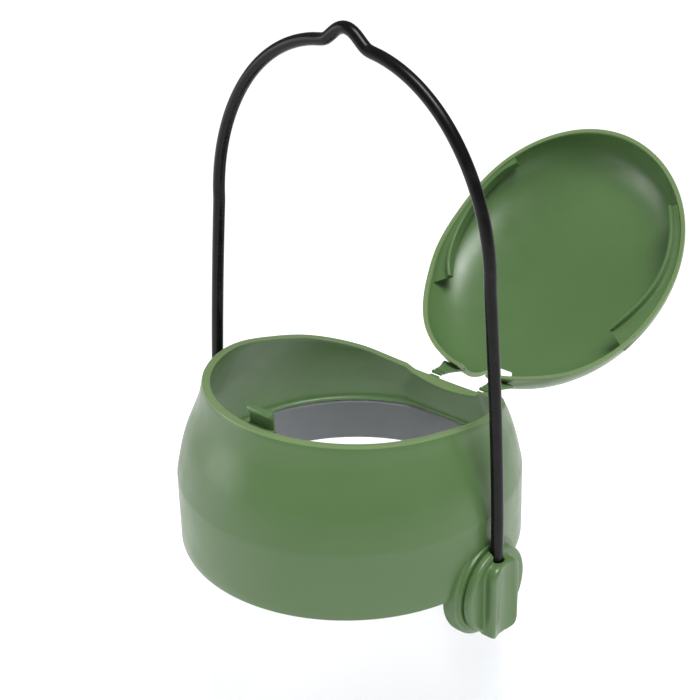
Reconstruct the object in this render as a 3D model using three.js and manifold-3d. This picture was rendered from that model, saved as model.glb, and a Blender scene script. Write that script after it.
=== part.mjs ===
// Hanging wasp trap: a clear tube on a lift-off bait base, with four entry funnels near the base,
// and a domed collar on top that carries a flip-top lid and a swinging wire bail.
// Millimetres, +Z up. The origin is the centre of the base's underside and Z is the tube's axis.
// The lid hinges at the back (+Y), its catch is at the front (-Y), the bail pivots on the X axis.
import * as THREE from 'three';
import { mergeVertices } from 'three/addons/utils/BufferGeometryUtils.js';
import Module from 'manifold-3d';

// Driving dimensions
const tubeRadius = 44.7; // outside
const tubeWall = 2;
const exposedTube = 145; // clear height between base and collar
const baseHeight = 40;
const floorThickness = 4;
const skirtClearance = 0.35; // tube to collar, and tube to base
const seatGap = 0.3; // end faces that rest on each other
const runningGap = 0.35; // between pieces that turn on each other
const baseWall = 1.95;
const footFlare = 5;
const shelfHeight = 9; // the tube's lower end stands on this shelf
const sealSection = 0.9; // radius of the base seal's round section
const sealDepth = 4; // seal's middle below the base's upper edge
const collarWall = 1.95;
const domeWall = 2.3;
const domeCrown = 60; // where the collar's outline would close without its mouth
const ledgeHeight = 13.5; // the tube's upper end stops under this ledge
const ledgeReach = 0.9; // how far the ledge covers the tube's end
const ledgeDepth = 1.2;
const skirtHeight = 20; // straight part of the collar
const lidWall = 1.8;
const lidGap = 0.4; // closed lid to the collar's rim
const lidOpenAngle = THREE.MathUtils.degToRad(130);
const lidRise = 19; // crown above the line from the lid's back edge to its front edge
const lidBulge = 1.015; // lid's dome beyond the rim, to the sides
const lidOverhang = 0.4; // lid's edge beyond the collar's rim
const notchHalfWidth = 5; // arched gap in the lid's edge between the straps
const notchTopHalfWidth = 3;
const notchDepth = 6;
const panelHalfWidth = 15; // flat panel inside the collar below the hinge
const foldReach = 3.3; // hinge fold behind the collar's widest part
const foldHeight = 22;
const strapSpacing = 17.2;
const strapRoot = 8;
const strapNeck = 3.5;
const strapThickness = 1;
const webRadius = 0.55;
const tongueLength = 6.6; // collar's straps
const ribInset = 11.4; // lid's ribs inside the collar's side
const ribThickness = 1;
const ribBack = 20;
const ribFront = -22;
const wireRadius = 1.675;
const wireFit = 0.3; // wire to its holes
const hookBend = 2.4; // radius of the wire's bend at the pivot
const hookTop = 14; // where the bend's leg becomes the arch
const bailStraight = 86; // legs, above the pivot
const bailHeight = 141.4; // crown of the arch, above the pivot
const bailNarrowing = 4.1; // how far each leg leans in over its straight part
const humpHeight = 4.6;
const crownDip = 1.2; // the arch flattens by this much beside the hump
const bailLean = THREE.MathUtils.degToRad(1.2); // the bail stands a little behind upright
const humpHalfWidth = 8;
const pivotHeight = -1.5; // bail pivot, from the collar's lower edge
const bossRadius = 14;
const bossReach = 0.5; // boss face beyond the collar's side
const bossDepth = 8; // boss root inside the collar's bore, trimmed to the bore
const gripRadius = 12.2;
const gripThickness = 2.3;
const barHalfWidth = 6.2;
const barTop = 9.5;
const barBottom = -13;
const barCorner = 3;
const grooveRadius = 9; // hollow along the bar for the finger
const grooveDepth = 0.9;
const grooveTilt = THREE.MathUtils.degToRad(2); // deeper towards the bar's lower end
const barReach = 5.4; // finger bar, beyond the grip's inner face
const catchHalfWidth = 4.3;
const catchHeight = 51.7;
const catchBarRadius = 1;
const catchInset = 12.8; // catch bar inside the collar's side
const portHeight = 24; // port centres above the base's upper edge
const portCount = 4;
const portBore = 8.8;
const bezelRadius = 14;
const bezelReach = 4.3; // bezel face beyond the tube
const spigotWall = 1.8;
const funnelWall = 1.2;
const funnelTip = 4.2; // radius of the inner opening
const funnelTipReach = 20; // inner opening, from the tube's axis
const funnelLip = 1.2;

// Sizes that follow
const collarRadius = tubeRadius + skirtClearance + collarWall;
const sealHeight = baseHeight - sealDepth;
const baseRadius = tubeRadius + skirtClearance + baseWall;
const bore = tubeRadius + skirtClearance;
const collarZ = baseHeight + exposedTube;
const portZ = baseHeight + portHeight;
const foldY = collarRadius + foldReach;
const bossFace = collarRadius + bossReach;
const gripFace = bossFace + runningGap;
const legX = gripFace + wireRadius + wireFit / 2;
const ringSteps = 44;

// The dome's outline: how far it draws in from the collar's side, and its height.
const collarDome = [[0, skirtHeight], [1.05, 25], [2.5, 30], [4.6, 35], [6.6, 40], [7.9, 45], [9, 50],
  [12.5, 55]];

// The lid's outline, over the line from its back edge to its front edge: width as a share, and height.
const lidDome = [[1.03, -0.4], [1, 0], [0.995, 0.21], [0.965, 0.42], [0.9, 0.63], [0.77, 0.8], [0.55, 0.92],
  [0.3, 0.98]];

// The collar's rim, seen from the side: place along Y as a share of the collar's radius, and height.
const rimLine = [[1.3, 16], [1.06, 21.8], [0.926, 26.5], [0.757, 32.4], [0.5, 37.8], [0.24, 41],
  [0, 43.8], [-0.19, 45.2], [-0.6, 46.8], [-0.83, 47.6], [-1.06, 48.2], [-1.3, 48.8]];

const green = new THREE.MeshStandardMaterial({ color: 0x5a7d4b, roughness: 0.5, metalness: 0 });
const clear = new THREE.MeshStandardMaterial({
  color: 0xe8eef2, roughness: 0.08, metalness: 0, transparent: true, opacity: 0.3,
});
const black = new THREE.MeshStandardMaterial({ color: 0x16161a, roughness: 0.25, metalness: 0.1 });
const rubber = new THREE.MeshStandardMaterial({ color: 0x2a2b2c, roughness: 0.8, metalness: 0 });
const yellow = new THREE.MeshStandardMaterial({ color: 0xe0b52a, roughness: 0.4, metalness: 0 });

const wasm = await Module();
wasm.setup();

// A closed geometry as a solid: vertices merged, collapsed triangles dropped, faces turned outwards.
function solidOf(geometry) {
  const bare = geometry.index ? geometry.toNonIndexed() : geometry.clone();
  bare.deleteAttribute('normal');
  bare.deleteAttribute('uv');
  const merged = mergeVertices(bare, 1e-4);
  const spots = merged.attributes.position.array;
  const corners = merged.index.array;
  const kept = [];
  let volume = 0;
  for (let i = 0; i < corners.length; i += 3) {
    const [a, b, c] = [corners[i], corners[i + 1], corners[i + 2]];
    if (a === b || b === c || c === a) continue;
    kept.push([a, b, c]);
    const [p, q, r] = [a, b, c].map((k) => new THREE.Vector3().fromArray(spots, 3 * k));
    volume += p.dot(q.cross(r));
  }
  const turned = volume < 0 ? kept.map(([a, b, c]) => [a, c, b]) : kept;
  const mesh = new wasm.Mesh({
    numProp: 3, vertProperties: Float32Array.from(spots), triVerts: Uint32Array.from(turned.flat()),
  });
  return new wasm.Manifold(mesh);
}

function geometryOf(solid) {
  const mesh = solid.getMesh();
  const geometry = new THREE.BufferGeometry();
  geometry.setAttribute('position', new THREE.BufferAttribute(Float32Array.from(mesh.vertProperties), 3));
  geometry.setIndex(new THREE.BufferAttribute(Uint32Array.from(mesh.triVerts), 1));
  geometry.computeVertexNormals();
  return geometry;
}

// A closed outline of [radius, height] points turned about Z.
function turned(outline, steps = ringSteps) {
  const points = outline.map(([radius, height]) => new THREE.Vector2(radius, height));
  return new THREE.LatheGeometry(points, steps).rotateX(Math.PI / 2);
}

function ring(inner, outer, low, high, steps = ringSteps) {
  return turned([[inner, low], [outer, low], [outer, high], [inner, high], [inner, low]], steps);
}

function disc(radius, low, high, steps = ringSteps) {
  return turned([[0, low], [radius, low], [radius, high], [0, high]], steps);
}

// An outline of [y, z] points, extruded along X between two places.
function alongX(outline, from, to) {
  const shape = new THREE.Shape(outline.map(([y, z]) => new THREE.Vector2(y, z)));
  const geometry = new THREE.ExtrudeGeometry(shape, { depth: to - from, bevelEnabled: false });
  const turn = new THREE.Matrix4().makeBasis(
    new THREE.Vector3(0, 1, 0), new THREE.Vector3(0, 0, 1), new THREE.Vector3(1, 0, 0));
  return geometry.applyMatrix4(turn).translate(from, 0, 0);
}

function block(x0, x1, y0, y1, z0, z1) {
  return new THREE.BoxGeometry(x1 - x0, y1 - y0, z1 - z0)
    .translate((x0 + x1) / 2, (y0 + y1) / 2, (z0 + z1) / 2);
}

// The outline of the collar's dome, set in by a wall: each point moves along the curve's own normal.
function domeOutline(crown, inset, count) {
  const knots = [...collarDome.map(([draw, height]) => new THREE.Vector2(collarRadius - draw, height)),
    new THREE.Vector2(0, crown)];
  const curve = new THREE.SplineCurve(knots);
  const outline = [];
  for (let i = 0; i < count; i += 1) {
    const spot = curve.getPoint(i / count);
    const lean = curve.getTangent(i / count);
    outline.push([spot.x - inset * lean.y, spot.y + inset * lean.x * (i ? 1 : 0)]);
  }
  outline.push([0, crown - inset]);
  return outline;
}

// Everything above the rim line, which the lid keeps and the collar loses.
function aboveRim(lift) {
  const curve = new THREE.SplineCurve(rimLine.map(([share, height]) =>
    new THREE.Vector2(share * collarRadius, height + lift)));
  const outline = curve.getPoints(22).map((spot) => [spot.x, spot.y]);
  const reach = 2 * collarRadius;
  outline.push([outline.at(-1)[0], reach], [outline[0][0], reach]);
  return solidOf(alongX(outline, -reach, reach));
}

// A strap that narrows from its root to its neck, lying in the XY plane with its neck at y = 0.
function strap(length) {
  const shape = new THREE.Shape([
    new THREE.Vector2(-strapNeck / 2, 0), new THREE.Vector2(strapNeck / 2, 0),
    new THREE.Vector2(strapRoot / 2, length), new THREE.Vector2(-strapRoot / 2, length)]);
  return new THREE.ExtrudeGeometry(shape, { depth: strapThickness, bevelEnabled: false });
}

function turnedAboutX(outline, side, steps) {
  return turned(outline, steps).rotateY(side * Math.PI / 2);
}

function collarSolid() {
  const outside = [[0, 0], [collarRadius, 0], ...domeOutline(domeCrown, 0, 9)];
  const mouth = tubeRadius - ledgeReach;
  const inside = [[0, -bossRadius * 2], [bore, -bossRadius * 2], [bore, ledgeHeight],
    [mouth, ledgeHeight], [mouth, ledgeHeight + ledgeDepth], ...domeOutline(domeCrown, domeWall, 9)];
  const outer = solidOf(turned(outside));
  const innerRadius = collarRadius - domeWall;
  const panelY = Math.sqrt(innerRadius ** 2 - panelHalfWidth ** 2);
  const panelBlock = block(-panelHalfWidth, panelHalfWidth, panelY, foldY, ledgeHeight, domeCrown);
  const panel = solidOf(panelBlock).intersect(outer);
  let body = outer;
  for (const side of [-1, 1]) {
    const root = bore - bossDepth;
    const boss = [[0, root], [bossRadius, root], [bossRadius, bossFace - 1.3],
      [bossRadius - 1, bossFace - 0.9], [bossRadius - 1.5, bossFace], [0, bossFace]];
    body = body.add(solidOf(turnedAboutX(boss, side, 32).translate(0, 0, pivotHeight)));
  }
  body = body.subtract(solidOf(turned(inside))).add(panel).subtract(aboveRim(0));
  const relief = solidOf(block(-panelHalfWidth + 2, panelHalfWidth - 2, 0.7 * collarRadius, foldY, 0, 60));
  body = body.subtract(aboveRim(-1.2).intersect(relief));
  for (const side of [-1, 1]) {
    const hole = disc(wireRadius + wireFit, bore - 1, bossFace + 1, 16);
    body = body.subtract(solidOf(hole.rotateY(side * Math.PI / 2).translate(0, 0, pivotHeight)));
    const tongue = strap(tongueLength).rotateZ(Math.PI)
      .translate(side * strapSpacing / 2, foldY - webRadius - runningGap, foldHeight - strapThickness - 0.3);
    body = body.add(solidOf(tongue));
  }
  return body.add(catchSolid());
}

// The catch: a plate standing on the inside of the front rim, with a round bar along its top.
function catchSolid() {
  const barY = -(collarRadius - catchInset);
  const barZ = catchHeight - catchBarRadius;
  const plate = block(-catchHalfWidth, catchHalfWidth, barY - 3, barY + catchBarRadius, barZ - 8, barZ - 4.4);
  const web = block(0.3 - catchHalfWidth, catchHalfWidth - 0.3, barY, barY + catchBarRadius, barZ - 5, barZ);
  const bar = new THREE.CylinderGeometry(catchBarRadius, catchBarRadius, 2 * catchHalfWidth, 12)
    .rotateZ(Math.PI / 2).translate(0, barY, barZ);
  return solidOf(plate).add(solidOf(web)).add(solidOf(bar));
}

// The rim's outer edge at the back and the front, where the lid's own outline starts and ends.
const lidBack = new THREE.Vector2(0.985 * collarRadius + lidOverhang, 27);
const lidFront = new THREE.Vector2(-0.833 * collarRadius - lidOverhang, 48);
const lidLength = lidBack.distanceTo(lidFront);
const lidHalfWidth = 0.84 * collarRadius + lidOverhang;
const lidSlope = Math.atan2(lidFront.y - lidBack.y, lidBack.x - lidFront.x);

// The lid's full dome, set in by a wall, standing on the line from back edge to front edge.
function lidDomeSolid(inset) {
  const knots = lidDome.map(([share, height]) => new THREE.Vector2(share, height * lidRise));
  const curve = new THREE.SplineCurve([...knots, new THREE.Vector2(0, lidRise)]);
  const outline = curve.getPoints(11).map((spot) => [spot.x, spot.y]);
  outline[outline.length - 1] = [0, lidRise];
  const dome = turned([[0, outline[0][1]], ...outline]);
  const inFlat = (lidRise - inset) / lidRise;
  dome.scale(lidHalfWidth * lidBulge - inset, lidLength / 2 - inset, inFlat);
  const middle = lidBack.clone().add(lidFront).multiplyScalar(0.5);
  return solidOf(dome.rotateX(-lidSlope).translate(0, middle.x, middle.y));
}

// The lid as it lies when closed, in the collar's own frame.
function lidSolid() {
  const outer = lidDomeSolid(0);
  const inner = lidDomeSolid(lidWall);
  let body = outer.subtract(inner).intersect(aboveRim(lidGap));
  body = body.add(ribSolid(outer)).subtract(notchSolid());
  const toEdge = new THREE.Vector2(lidBack.x - foldY, lidBack.y + 1 - foldHeight);
  const strapAngle = toEdge.angle();
  const length = toEdge.length() + 1.2;
  for (const side of [-1, 1]) {
    const tab = strap(length).translate(0, webRadius + runningGap, -strapThickness / 2)
      .rotateX(strapAngle).translate(side * strapSpacing / 2, foldY, foldHeight);
    body = body.add(solidOf(tab).subtract(inner));
  }
  return body;
}

// The arched gap at the back of the lid, in the closed lid's place.
function notchSolid() {
  const [wide, narrow] = [notchHalfWidth, notchTopHalfWidth];
  const shoulder = 0.7 * wide + 0.3 * narrow;
  const half = [[wide, foldY], [wide, lidBack.x - 0.4], [shoulder, lidBack.x - 0.6 * notchDepth],
    [narrow, lidBack.x - notchDepth]];
  const outline = [...half, ...half.map(([x, y]) => [-x, y]).reverse()];
  const shape = new THREE.Shape(outline.map(([x, y]) => new THREE.Vector2(x, y)));
  const cut = new THREE.ExtrudeGeometry(shape, { depth: domeCrown, bevelEnabled: false });
  return solidOf(cut);
}

// Two ribs inside the lid's edge, left and right, which drop into the collar's mouth.
function ribSolid(outer) {
  const mouth = collarRadius - ribInset;
  const top = 2 * collarRadius;
  const sector = solidOf(block(-collarRadius, collarRadius, ribFront, ribBack, 0, top));
  const band = outer.subtract(solidOf(disc(mouth - ribThickness, 0, top))).intersect(aboveRim(lidGap));
  const lip = solidOf(ring(mouth - ribThickness, mouth, 10, top - 10)).intersect(aboveRim(-1.6));
  return band.add(lip).intersect(sector).subtract(aboveRim(1.8));
}

// The bail's turned-in end, in the XZ plane about the pivot: it is the pivot pin, and bends up into the leg.
function bailHook() {
  const spots = [[bore + 0.9, 0], [legX - hookBend, 0]];
  for (let i = 1; i <= 4; i += 1) {
    const turn = i * Math.PI / 8;
    spots.push([legX - hookBend + hookBend * Math.sin(turn), hookBend * (1 - Math.cos(turn))]);
  }
  spots.push([legX, hookTop + 0.5]);
  return spots;
}

// Half of the arch above the hook: a leg that leans in, half an ellipse, and half the hump at the crown.
function bailArch() {
  const shoulder = legX - bailNarrowing;
  const spots = [];
  for (let i = 0; i <= 5; i += 1) {
    const share = i / 5;
    spots.push([legX - bailNarrowing * share ** 1.5, hookTop + (bailStraight - hookTop) * share]);
  }
  const rise = bailHeight - bailStraight;
  const last = Math.acos(humpHalfWidth / shoulder);
  for (let i = 1; i <= 12; i += 1) {
    const turn = last * i / 12;
    const dip = crownDip * Math.max(0, (i - 6) / 6) ** 2;
    spots.push([shoulder * Math.cos(turn), bailStraight + rise * Math.sin(turn) - dip]);
  }
  const crown = bailStraight + rise * Math.sin(last) - crownDip;
  for (const [share, lift] of [[0.72, 0.22], [0.45, 0.66], [0.2, 0.95]]) {
    spots.push([share * humpHalfWidth, crown + lift * humpHeight]);
  }
  const mirrored = spots.map(([x, z]) => [-x, z]);
  return [...mirrored, [0, crown + humpHeight], ...spots.reverse()];
}

function wireSolid(spots, radius, steps, sides) {
  const knots = spots.map(([x, z]) => new THREE.Vector3(x, 0, z));
  const path = new THREE.CatmullRomCurve3(knots, false, 'centripetal');
  const section = new THREE.Shape(new THREE.EllipseCurve(0, 0, radius, radius).getPoints(sides).slice(0, -1));
  return solidOf(new THREE.ExtrudeGeometry(section, { steps, extrudePath: path, bevelEnabled: false }));
}

function bailSolid() {
  const hook = wireSolid(bailHook(), wireRadius, 12, 8);
  return wireSolid(bailArch(), wireRadius, 66, 8).add(hook).add(hook.mirror([1, 0, 0]));
}

// A grip covers the bail's end: a round plate with a grooved finger bar, about the pivot.
function gripSolid(side) {
  const plate = [[0, gripFace], [gripRadius, gripFace], [gripRadius, gripFace + gripThickness - 0.8],
    [gripRadius - 0.8, gripFace + gripThickness], [0, gripFace + gripThickness]];
  const r = barCorner;
  const face = new THREE.Shape(); // the bar's outline, rounded at its four corners
  face.moveTo(-barHalfWidth + r, barBottom);
  face.lineTo(barHalfWidth - r, barBottom);
  face.absarc(barHalfWidth - r, barBottom + r, r, -Math.PI / 2, 0);
  face.absarc(barHalfWidth - r, barTop - r, r, 0, Math.PI / 2);
  face.absarc(-barHalfWidth + r, barTop - r, r, Math.PI / 2, Math.PI);
  face.absarc(-barHalfWidth + r, barBottom + r, r, Math.PI, 1.5 * Math.PI);
  const outline = face.getPoints(5).map((spot) => [spot.x, spot.y]);
  const bar = solidOf(alongX(outline, gripFace, gripFace + barReach));
  const groove = disc(grooveRadius, barBottom - 3, barTop + 3, 32).rotateY(grooveTilt)
    .translate(gripFace + barReach + grooveRadius - grooveDepth, 0, 0);
  const channel = wireSolid(bailHook(), wireRadius + wireFit, 12, 12);
  const grip = solidOf(turnedAboutX(plate, 1, 30)).add(bar).subtract(solidOf(groove)).subtract(channel);
  return side > 0 ? grip : grip.mirror([1, 0, 0]);
}

function tubeSolid() {
  const low = shelfHeight + seatGap;
  const high = collarZ + ledgeHeight - seatGap;
  let tube = solidOf(ring(tubeRadius - tubeWall, tubeRadius, low, high));
  for (let i = 0; i < portCount; i += 1) {
    const cut = outwards(disc(portBore + spigotWall + runningGap, tubeRadius - 10, tubeRadius + 5, 28), i);
    tube = tube.subtract(solidOf(cut));
  }
  return tube;
}

// Turns a geometry built about Z so that it points outwards at port i.
function outwards(geometry, i) {
  return geometry.rotateY(Math.PI / 2).rotateZ(2 * Math.PI * i / portCount).translate(0, 0, portZ);
}

function baseSolid() {
  const top = baseHeight;
  const groove = tubeRadius + seatGap + 2 * sealSection + seatGap;
  const bead = groove + 1.6;
  const half = sealSection + seatGap;
  return solidOf(turned([[0, 0], [baseRadius + footFlare - 1, 0], [baseRadius + footFlare, 1],
    [baseRadius + footFlare, 4], [baseRadius + 0.6 * footFlare, 7.5], [baseRadius + 0.28 * footFlare, 12.5],
    [baseRadius + 0.06 * footFlare, 19], [baseRadius, sealHeight - 8], [bead - 0.5, sealHeight - 5.5],
    [bead, sealHeight - 4], [bead, top - 1], [bead - 0.8, top], [bore, top], [bore, sealHeight + half],
    [groove, sealHeight + half], [groove, sealHeight - half], [bore, sealHeight - half], [bore, shelfHeight],
    [bore - 3, shelfHeight], [bore - 4.5, floorThickness + 2], [bore - 9, floorThickness],
    [0, floorThickness]]));
}

function sealGeometry() {
  return new THREE.TorusGeometry(tubeRadius + seatGap + sealSection, sealSection, 6, ringSteps)
    .translate(0, 0, sealHeight);
}

// A bezel saddles on the tube round its port, and its spigot passes through the wall.
function bezelSolid(i) {
  const face = tubeRadius + bezelReach;
  const flange = [[0, tubeRadius - 4], [bezelRadius, tubeRadius - 4], [bezelRadius, face - 1.5],
    [bezelRadius - 1.5, face], [0, face]];
  const saddle = solidOf(disc(tubeRadius + seatGap, 0, 2 * portZ));
  const spigot = disc(portBore + spigotWall, tubeRadius - tubeWall - 2.5, face - 1, 24);
  const body = solidOf(outwards(turned(flange, 28), i)).subtract(saddle).add(solidOf(outwards(spigot, i)));
  return body.subtract(solidOf(outwards(disc(portBore, 0, 2 * face, 24), i)));
}

// A funnel lies in its bezel and points at the tube's axis: wide outside, just wide enough inside.
function funnelGeometry(i) {
  const face = tubeRadius + bezelReach + seatGap;
  const barrel = portBore - seatGap;
  const neck = tubeRadius - tubeWall - 2.5;
  const lip = barrel + 1.7;
  const outline = [[funnelTip, funnelTipReach], [funnelTip + funnelWall, funnelTipReach], [barrel, neck],
    [barrel, face], [lip, face], [lip, face + funnelLip], [barrel - funnelWall, face + funnelLip],
    [barrel - funnelWall, neck], [funnelTip, funnelTipReach]];
  return outwards(turned(outline, 20), i);
}

const trap = new THREE.Group();

function addPiece(name, shape, material, parent = trap) {
  const geometry = shape.isBufferGeometry ? geometryOf(solidOf(shape)) : geometryOf(shape);
  const mesh = new THREE.Mesh(geometry, material);
  mesh.name = name;
  parent.add(mesh);
  return mesh;
}

addPiece('base_bowl', baseSolid(), green);
addPiece('base_seal', sealGeometry(), rubber);
addPiece('clear_tube', tubeSolid(), clear);
for (let i = 0; i < portCount; i += 1) {
  addPiece(`port_bezel_${i + 1}`, bezelSolid(i), green);
  addPiece(`entry_funnel_${i + 1}`, funnelGeometry(i), yellow);
}

const head = new THREE.Group();
head.position.z = collarZ;
trap.add(head);
addPiece('collar', collarSolid(), green, head);
for (const [name, side] of [['left', -1], ['right', 1]]) {
  const bead = new THREE.CylinderGeometry(webRadius, webRadius, strapNeck - 0.2, 12)
    .rotateZ(Math.PI / 2).translate(side * strapSpacing / 2, foldY, foldHeight);
  addPiece(`hinge_web_${name}`, bead, green, head);
}

const lidFrame = new THREE.Group();
lidFrame.position.set(0, foldY, foldHeight);
lidFrame.rotation.x = -lidOpenAngle;
head.add(lidFrame);
const lid = addPiece('lid', lidSolid(), green, lidFrame);
lid.position.set(0, -foldY, -foldHeight);

const bail = new THREE.Group();
bail.position.z = pivotHeight;
bail.rotation.x = -bailLean;
head.add(bail);
addPiece('bail_wire', bailSolid(), black, bail);
addPiece('grip_left', gripSolid(-1), green, bail);
addPiece('grip_right', gripSolid(1), green, bail);

export default trap;
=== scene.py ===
# Hanging wasp trap: the moulded head, clear tube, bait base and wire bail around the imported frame.
import bpy
import bmesh
from math import acos, cos, pi, radians, sin, sqrt
from mathutils import Matrix, Vector


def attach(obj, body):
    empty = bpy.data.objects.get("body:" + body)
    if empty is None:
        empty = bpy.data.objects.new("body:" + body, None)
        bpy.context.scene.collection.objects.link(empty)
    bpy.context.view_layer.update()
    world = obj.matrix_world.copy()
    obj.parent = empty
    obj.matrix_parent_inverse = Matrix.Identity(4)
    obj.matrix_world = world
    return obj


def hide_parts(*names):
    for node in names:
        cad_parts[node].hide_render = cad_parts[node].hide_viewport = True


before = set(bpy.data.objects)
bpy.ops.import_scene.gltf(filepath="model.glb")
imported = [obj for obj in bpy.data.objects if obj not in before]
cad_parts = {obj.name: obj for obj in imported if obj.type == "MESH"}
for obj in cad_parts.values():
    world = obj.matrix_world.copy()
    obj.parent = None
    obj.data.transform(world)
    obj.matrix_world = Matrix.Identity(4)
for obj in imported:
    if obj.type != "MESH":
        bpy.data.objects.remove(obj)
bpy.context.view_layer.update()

mm = 0.001

# Sizes that several pieces share, in millimetres and degrees. Heights are above the collar's lower edge.
head = {
    "collarHeight": 185,  # the collar's lower edge, above the table
    "radius": 47,
    "boreRadius": 45.05,
    "tubeRadius": 44.7,
    "tubeWall": 2,
    "foldPlace": 50.3,
    "foldHeight": 22,
    "pivotHeight": -1.5,
    "lidAngle": 130,
    "lidGap": 0.4,
}

# The dome's outline: height, and how far it draws in from the collar's side.
domeLine = [(20, 0), (25, 1.05), (30, 2.5), (35, 4.6), (40, 6.6), (45, 7.9), (50, 9), (55, 12.5)]

# The rim from back to front: share of the collar's radius along Y, and height.
rimLine = [(1.3, 16), (1.06, 21.8), (0.926, 26.5), (0.757, 32.4), (0.5, 37.8), (0.24, 41), (0, 43.8),
           (-0.19, 45.2), (-0.6, 46.8), (-0.83, 47.6), (-1.06, 48.2), (-1.3, 48.8)]


def smoothAt(table, x):  # a smooth curve through a table of (place, value), places in either order
    rows = sorted(table)
    i = 0
    while i < len(rows) - 2 and x > rows[i + 1][0]:
        i += 1
    slopes = []
    for k in (i, i + 1):
        low, high = rows[max(k - 1, 0)], rows[min(k + 1, len(rows) - 1)]
        slopes.append((high[1] - low[1]) / (high[0] - low[0]))
    (x0, y0), (x1, y1) = rows[i], rows[i + 1]
    width = x1 - x0
    t = min(max((x - x0) / width, 0), 1)
    return (y0 * (2 * t ** 3 - 3 * t ** 2 + 1) + slopes[0] * width * (t ** 3 - 2 * t ** 2 + t)
            + y1 * (3 * t ** 2 - 2 * t ** 3) + slopes[1] * width * (t ** 3 - t ** 2))


def curveAt(points, share):  # a smooth curve through evenly paced points, share from 0 to 1
    place = share * (len(points) - 1)
    i = min(int(place), len(points) - 2)
    t = place - i
    last = len(points) - 1
    spot = []
    for a, b, c, d in zip(points[max(i - 1, 0)], points[i], points[i + 1], points[min(i + 2, last)]):
        u, v = (c - a) / 2, (d - b) / 2
        spot.append((2 * b - 2 * c + u + v) * t ** 3 + (3 * c - 3 * b - 2 * u - v) * t ** 2 + u * t + b)
    return spot


def stepUp(x, low, high):  # 0 below low, 1 above high, smooth between
    t = min(max((x - low) / (high - low), 0), 1)
    return t * t * (3 - 2 * t)


def domeRadius(height):
    return head["radius"] - (smoothAt(domeLine, height) if height > 20 else 0)


def rimHeight(y):
    return smoothAt(rimLine, y / head["radius"])


def roundedLoop(corners, steps=4):  # a closed outline of (x, y, radius) corners, each turned into an arc
    loop = []
    for i, (x, y, radius) in enumerate(corners):
        spot = Vector((x, y))
        before = Vector(corners[i - 1][:2]) - spot
        after = Vector(corners[(i + 1) % len(corners)][:2]) - spot
        reach = min(radius, before.length * 0.49, after.length * 0.49)
        if reach < 0.01:
            loop.append((x, y))
            continue
        start, end = spot + before.normalized() * reach, spot + after.normalized() * reach
        for k in range(steps + 1):
            t = k / steps
            point = start * (1 - t) ** 2 + spot * 2 * t * (1 - t) + end * t * t
            loop.append((point.x, point.y))
    return loop


def gridMesh(name, rings, closed=True, caps=False):  # rings of equally many points, joined by quads
    mesh = bpy.data.meshes.new(name)
    builder = bmesh.new()
    rows = [[builder.verts.new(Vector(p) * mm) for p in ring] for ring in rings]
    count = len(rings[0])
    for i in range(len(rows) if closed else len(rows) - 1):
        here, there = rows[i], rows[(i + 1) % len(rows)]
        for k in range(count):
            n = (k + 1) % count
            builder.faces.new((here[k], here[n], there[n], there[k]))
    if caps:
        builder.faces.new(rows[0])
        builder.faces.new(rows[-1])
    bmesh.ops.recalc_face_normals(builder, faces=builder.faces[:])
    builder.to_mesh(mesh)
    builder.free()
    return mesh


def lathe(name, loop, steps, turn=Matrix.Identity(4)):  # a closed (radius, height) loop turned about Z
    rings = []
    for i in range(steps):
        angle = 2 * pi * i / steps
        rings.append([turn @ Vector((r * cos(angle), r * sin(angle), z)) for r, z in loop])
    return gridMesh(name, rings)


def solidLathe(name, line, steps, turn=Matrix.Identity(4)):  # an open line from axis to axis, turned about Z
    mesh = bpy.data.meshes.new(name)
    builder = bmesh.new()
    poles = [builder.verts.new((turn @ Vector((0, 0, z))) * mm) for r, z in (line[0], line[-1])]
    rows = []
    for r, z in line[1:-1]:
        row = []
        for i in range(steps):
            angle = 2 * pi * i / steps
            row.append(builder.verts.new((turn @ Vector((r * cos(angle), r * sin(angle), z))) * mm))
        rows.append(row)
    for here, there in zip(rows, rows[1:]):
        for k in range(steps):
            n = (k + 1) % steps
            builder.faces.new((here[k], here[n], there[n], there[k]))
    for pole, row in zip(poles, (rows[0], rows[-1])):
        for k in range(steps):
            builder.faces.new((pole, row[k], row[(k + 1) % steps]))
    bmesh.ops.recalc_face_normals(builder, faces=builder.faces[:])
    builder.to_mesh(mesh)
    builder.free()
    return mesh


def slab(name, outline, low, high, turn=Matrix.Identity(4), edge=0.3):  # an outline in XY with rounded edges
    middle = Vector((sum(x for x, y in outline), sum(y for x, y in outline))) / len(outline)
    rings = []
    for inset, height in ((edge, low), (edge * 0.3, low + edge * 0.3), (0, low + edge), (0, high - edge),
                          (edge * 0.3, high - edge * 0.3), (edge, high)):
        ring = []
        for x, y in outline:
            spot = Vector((x, y))
            pull = middle - spot
            spot += pull.normalized() * min(inset, pull.length)
            ring.append(turn @ Vector((spot.x, spot.y, height)))
        rings.append(ring)
    return gridMesh(name, rings, closed=False, caps=True)


def place(name, mesh, *materials):
    piece = bpy.data.objects.new(name, mesh)
    bpy.context.scene.collection.objects.link(piece)
    for material in materials:
        mesh.materials.append(material)
    return piece


def combine(piece, cutters, how):  # the cutters' solids joined to, or cut from, the piece
    for cutter in cutters:
        change = piece.modifiers.new("join", "BOOLEAN")
        change.operation = how
        change.solver = "EXACT"
        change.object = cutter
    depsgraph = bpy.context.evaluated_depsgraph_get()
    shaped = bpy.data.meshes.new_from_object(piece.evaluated_get(depsgraph))
    piece.modifiers.clear()
    piece.data = shaped
    for cutter in cutters:
        bpy.data.objects.remove(cutter)


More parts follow.
